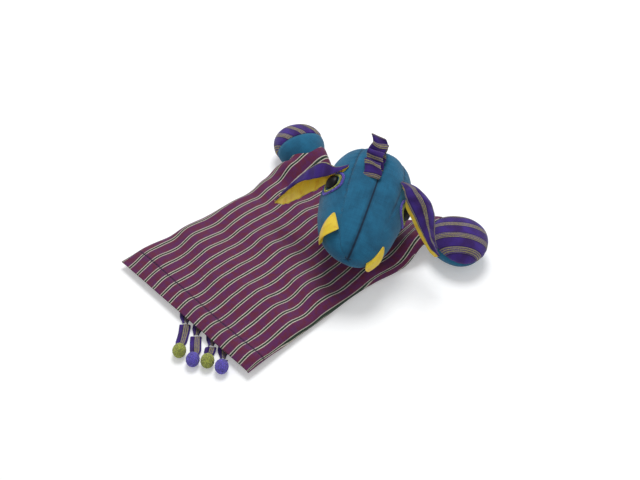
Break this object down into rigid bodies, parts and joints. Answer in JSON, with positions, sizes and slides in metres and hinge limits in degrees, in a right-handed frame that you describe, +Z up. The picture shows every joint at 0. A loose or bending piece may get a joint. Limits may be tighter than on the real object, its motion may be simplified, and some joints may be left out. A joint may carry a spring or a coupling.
{
  "type": "hand puppet",
  "caption": "Cloth dragon glove puppet with stuffed head, paws and ears, a pleated comb and tasselled tail, laid on its back with the head flopped forward.",
  "frame": {"origin": "on the flat underside of the glove's back panel, on its centre line, 140 mm up from the hem", "axes": "+Y from the hem towards the neck, +Z up through the front of the glove, +X towards the viewer's right, on the side of the longer, stretched arm"},
  "size_m": [0.2425, 0.2778, 0.1065],
  "materials": {
    "plum_cloth": "plain weave with cream pinstripes",
    "teal_linen": "plain linen weave",
    "violet_stripe": "woven, with olive-gold stripes",
    "yellow_satin": "satin",
    "olive_crochet": "crocheted yarn",
    "violet_crochet": "crocheted yarn",
    "black_button": "gloss",
    "stuffing": "loose fibre fill"
  },
  "bodies": {
    "glove": {"glove_back_panel": "plum_cloth", "glove_front_panel": "plum_cloth", "hem_facing": "plum_cloth"},
    "neck": {"neck_collar": "plum_cloth"},
    "head": {"neck_sleeve": "plum_cloth", "head_left_crown": "teal_linen", "head_right_crown": "teal_linen", "head_left_cheek": "teal_linen", "head_right_cheek": "teal_linen", "head_chin": "teal_linen", "head_stuffing": "stuffing", "finger_pocket": "plum_cloth", "comb_strip": "violet_stripe", "left_nostril": "yellow_satin", "right_nostril": "yellow_satin", "left_eye_button": "black_button", "left_eye_inner_ring": "olive_crochet", "left_eye_outer_ring": "violet_crochet", "right_eye_button": "black_button", "right_eye_inner_ring": "olive_crochet", "right_eye_outer_ring": "violet_crochet"},
    "tail": {"tail_strip": "violet_stripe"},
    "left_arm": {"left_sleeve": "plum_cloth"},
    "left_paw": {"left_paw_underside": "teal_linen", "left_paw_top": "violet_stripe", "left_paw_stuffing": "stuffing"},
    "left_ear": {"left_ear_outer": "violet_stripe", "left_ear_lining": "yellow_satin"},
    "right_arm": {"right_sleeve": "plum_cloth"},
    "right_paw": {"right_paw_underside": "teal_linen", "right_paw_top": "violet_stripe", "right_paw_stuffing": "stuffing"},
    "right_ear": {"right_ear_outer": "violet_stripe", "right_ear_lining": "yellow_satin"},
    "tassel_1": {"tassel_strip_1": "violet_stripe", "crochet_ball_1": "olive_crochet"},
    "tassel_2": {"tassel_strip_2": "violet_stripe", "crochet_ball_2": "violet_crochet"},
    "tassel_3": {"tassel_strip_3": "violet_stripe", "crochet_ball_3": "olive_crochet"},
    "tassel_4": {"tassel_strip_4": "violet_stripe", "crochet_ball_4": "violet_crochet"}
  },
  "joints": [
    {"name": "neck_sway", "type": "hinge", "parent": "glove", "child": "neck", "pos_m": [0.003, 0.066, 0.012], "axis": [0, 0, 1], "range_deg": [-35, 5]},
    {"name": "head_nod", "type": "hinge", "parent": "neck", "child": "head", "pos_m": [0.003, 0.066, 0.012], "axis": [-0.8425, -0.5388, 0], "range_deg": [0, 75]},
    {"name": "left_arm_swing", "type": "hinge", "parent": "glove", "child": "left_arm", "pos_m": [-0.047, 0.054, 0.0064], "axis": [0, 0, -1], "range_deg": [0, 45]},
    {"name": "left_wrist_curl", "type": "hinge", "parent": "left_arm", "child": "left_paw", "pos_m": [-0.05583, 0.06089, 0.0122], "axis": [0.3256, 0.9455, 0], "range_deg": [0, 40]},
    {"name": "left_ear_lift", "type": "hinge", "parent": "head", "child": "left_ear", "pos_m": [0.02835, 0.02554, 0.08978], "axis": [-0.4481, 0.8616, 0.2382], "range_deg": [0, 45]},
    {"name": "right_arm_swing", "type": "hinge", "parent": "glove", "child": "right_arm", "pos_m": [0.053, 0.054, 0.0064], "axis": [0, 0, 1], "range_deg": [0, 45]},
    {"name": "right_wrist_curl", "type": "hinge", "parent": "right_arm", "child": "right_paw", "pos_m": [0.08058, 0.07555, 0.0122], "axis": [0.2419, -0.9703, 0], "range_deg": [0, 40]},
    {"name": "right_ear_lift", "type": "hinge", "parent": "head", "child": "right_ear", "pos_m": [0.06892, 0.05293, 0.07175], "axis": [-0.3452, -0.4676, 0.8138], "range_deg": [0, 45]},
    {"name": "tail_swing", "type": "hinge", "parent": "glove", "child": "tail", "pos_m": [0.01085, -0.12208, 0.001], "axis": [0, 0, 1], "range_deg": [-20, 0]},
    {"name": "tassel_1_lift", "type": "hinge", "parent": "tail", "child": "tassel_1", "pos_m": [0.00658, -0.14304, 0.0006], "axis": [-0.7071, -0.7071, 0], "range_deg": [0, 40]},
    {"name": "tassel_2_lift", "type": "hinge", "parent": "tail", "child": "tassel_2", "pos_m": [0.0234, -0.14304, 0.0006], "axis": [-0.7071, -0.7071, 0], "range_deg": [0, 40]},
    {"name": "tassel_3_lift", "type": "hinge", "parent": "tail", "child": "tassel_3", "pos_m": [0.04023, -0.14304, 0.0006], "axis": [-0.7071, -0.7071, 0], "range_deg": [0, 40]},
    {"name": "tassel_4_lift", "type": "hinge", "parent": "tail", "child": "tassel_4", "pos_m": [0.05706, -0.14304, 0.0006], "axis": [-0.7071, -0.7071, 0], "range_deg": [0, 40]}
  ]
}
